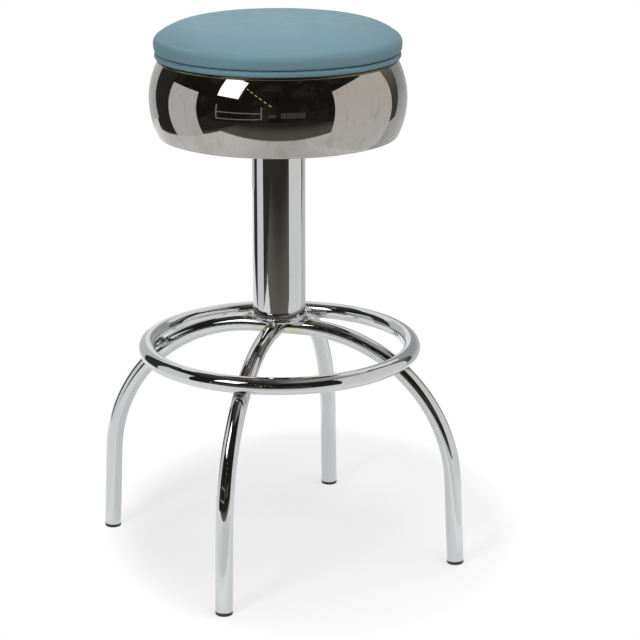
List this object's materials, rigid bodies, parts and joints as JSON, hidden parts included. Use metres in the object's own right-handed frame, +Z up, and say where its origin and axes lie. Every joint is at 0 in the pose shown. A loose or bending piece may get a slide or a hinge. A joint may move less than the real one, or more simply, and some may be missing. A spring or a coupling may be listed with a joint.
{
  "type": "diner counter stool",
  "caption": "Round padded counter stool: vinyl cushion on a chrome drum that swivels on a column, above bent tube legs and a foot ring.",
  "frame": {"origin": "centre of the base on the floor, on the swivel axis", "axes": "+Z up along the swivel axis; the four legs point along +X, +Y, -X and -Y"},
  "size_m": [0.5732, 0.5732, 0.8075],
  "materials": {
    "chrome": "bright plated",
    "weld": "plated weld bead",
    "steel": "plain mild steel",
    "zinc_steel": "zinc plated",
    "bearing_steel": "ground and hardened",
    "black_plastic": "moulded, satin",
    "nylon": "moulded",
    "plywood": "raw birch plywood",
    "foam": "open-cell foam",
    "vinyl": "satin coated vinyl",
    "cord": "twisted paper cord"
  },
  "bodies": {
    "base": {"leg_right": "chrome", "leg_back": "chrome", "leg_left": "chrome", "leg_front": "chrome", "foot_cap_right": "black_plastic", "foot_cap_back": "black_plastic", "foot_cap_left": "black_plastic", "foot_cap_front": "black_plastic", "foot_ring": "chrome", "foot_ring_welds": "weld", "hub_plate": "chrome", "hub_plate_welds": "weld", "column_tube": "chrome", "column_foot_weld": "chrome", "column_top_cap": "steel", "bearing_housing": "steel", "upper_bush": "nylon", "lower_bush": "nylon", "lower_race": "bearing_steel", "ball_cage": "nylon", "thrust_balls": "bearing_steel"},
    "seat": {"upper_race": "bearing_steel", "spindle": "steel", "spindle_collar": "steel", "collar_weld": "steel", "spindle_washer": "zinc_steel", "spindle_clip": "zinc_steel", "seat_plate": "steel", "seat_bolts": "zinc_steel", "bolt_washers": "zinc_steel", "tee_nuts": "zinc_steel", "seat_board": "plywood", "foam_pad": "foam", "vinyl_cover": "vinyl", "cover_staples": "zinc_steel", "seat_piping": "vinyl", "piping_cord": "cord", "chrome_bowl": "chrome", "bowl_screws": "zinc_steel"}
  },
  "joints": [
    {"name": "seat_swivel", "type": "hinge", "parent": "base", "child": "seat", "pos_m": [0, 0, 0.7], "axis": [0, 0, 1], "continuous": true}
  ]
}
